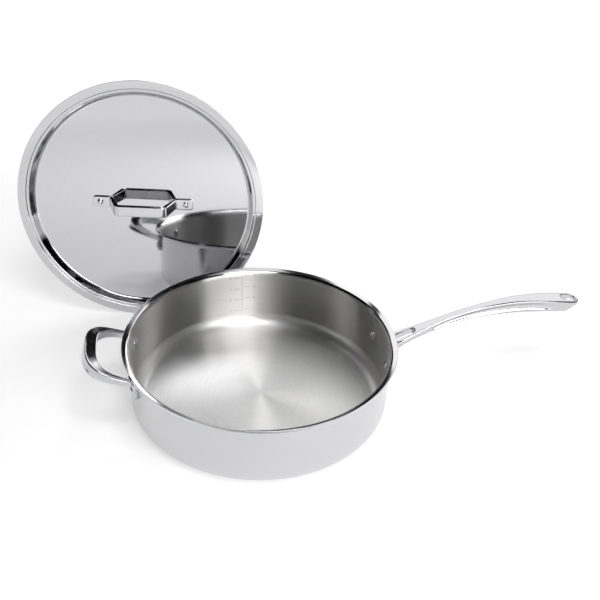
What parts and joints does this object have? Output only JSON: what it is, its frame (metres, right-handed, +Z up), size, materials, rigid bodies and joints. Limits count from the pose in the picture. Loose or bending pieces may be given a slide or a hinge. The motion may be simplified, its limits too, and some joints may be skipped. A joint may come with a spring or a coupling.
{
  "type": "saute pan with lid",
  "caption": "Straight-sided saute pan with a flared pouring lip, a forked cast long handle, a loop helper handle and a drop-in lid with a strap handle.",
  "frame": {"origin": "centre of the pan's flat underside, on the surface it stands on", "axes": "+Z up along the pan's axis, +X along the long handle away from the pan; the lid stands on its edge on the +Y, -X side"},
  "size_m": [0.6367, 0.3885, 0.2934],
  "materials": {
    "outer_steel": "fine circumferential satin",
    "aluminium_core": "plain, seen only at the lip's cut edge",
    "cooking_surface": "circular brushing",
    "polished_cast": "polished casting",
    "rivets": "polished",
    "lid_mirror": "mirror polished stainless steel"
  },
  "bodies": {
    "pan": {"outer_ply": "outer_steel", "core_ply": "aluminium_core", "inner_ply": "cooking_surface", "long_handle": "polished_cast", "long_handle_rivet_1": "rivets", "long_handle_rivet_2": "rivets", "helper_handle": "polished_cast", "helper_handle_rivet_1": "rivets", "helper_handle_rivet_2": "rivets"},
    "lid": {"lid_panel": "lid_mirror", "lid_handle": "polished_cast", "lid_handle_rivet_1": "rivets", "lid_handle_rivet_2": "rivets"}
  },
  "joints": [
    {"name": "lid_lift", "type": "slide", "parent": "pan", "child": "lid", "axis": [0, 0, 1], "range_m": [0, 0.3]}
  ]
}
